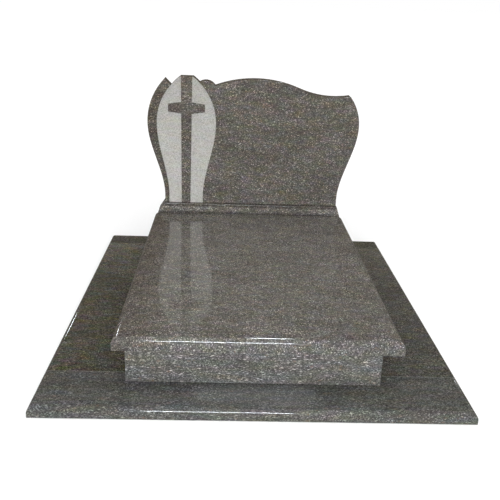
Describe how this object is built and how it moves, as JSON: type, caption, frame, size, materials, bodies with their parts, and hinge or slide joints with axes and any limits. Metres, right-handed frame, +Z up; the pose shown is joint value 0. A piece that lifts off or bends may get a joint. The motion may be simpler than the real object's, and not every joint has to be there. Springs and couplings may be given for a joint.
{
  "type": "granite grave set with headstone",
  "caption": "Polished granite grave set: a wavy-topped headstone with a frosted petal and a cross, on a plinth, behind a flat ledger over a kerb box and a flat surround.",
  "frame": {"origin": "middle of the underside of the surround, on the ground", "axes": "+X to the right of someone who faces the headstone from the foot of the grave, +Y from the foot of the grave to the headstone, +Z up"},
  "size_m": [1.5, 1.77, 0.9409],
  "materials": {
    "polished_granite": "polished, with the petal on the headstone frosted to a pale matt grey"
  },
  "bodies": {
    "root": {"headstone": "polished_granite", "plinth": "polished_granite", "ledger": "polished_granite", "kerb_front": "polished_granite", "kerb_back": "polished_granite", "kerb_left": "polished_granite", "kerb_right": "polished_granite", "surround_front": "polished_granite", "surround_back": "polished_granite", "surround_left": "polished_granite", "surround_right": "polished_granite"}
  },
  "joints": []
}
